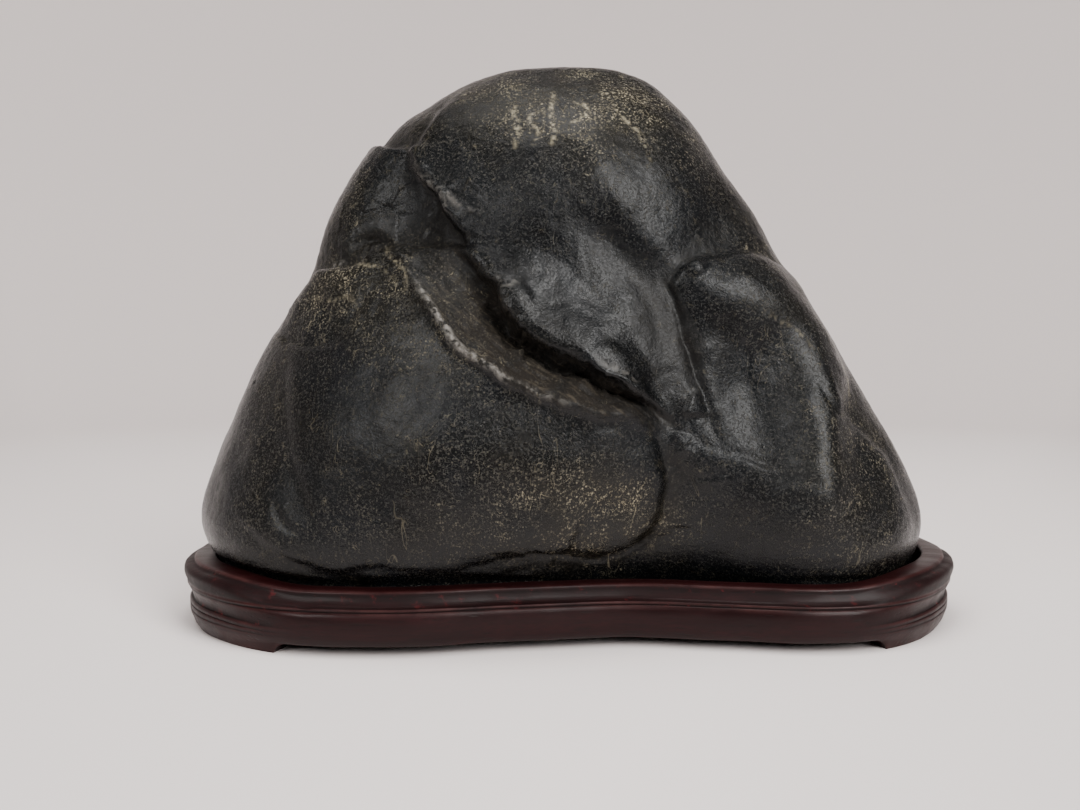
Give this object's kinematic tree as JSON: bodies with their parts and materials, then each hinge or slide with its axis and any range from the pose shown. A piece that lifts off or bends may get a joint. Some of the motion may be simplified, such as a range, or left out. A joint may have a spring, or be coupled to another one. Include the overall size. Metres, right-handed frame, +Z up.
{
  "type": "scholar's rock on a carved wooden stand",
  "caption": "Mountain-shaped black river stone with rounded lobes, a deep diagonal rift and a domed summit, resting in a carved hardwood stand.",
  "frame": {"origin": "centre of the object's plan box, on the surface that the stand's feet rest on", "axes": "+Z up; +X along the long side, to the right seen from the front; the front, with the diagonal rift, faces -Y"},
  "size_m": [0.2982, 0.1461, 0.2113],
  "materials": {
    "stone": "waxed, river-worn, semi-gloss",
    "stand": "dark red-brown lacquered hardwood, semi-gloss"
  },
  "bodies": {
    "root": {"stone": "stone", "stand": "stand"}
  },
  "joints": []
}
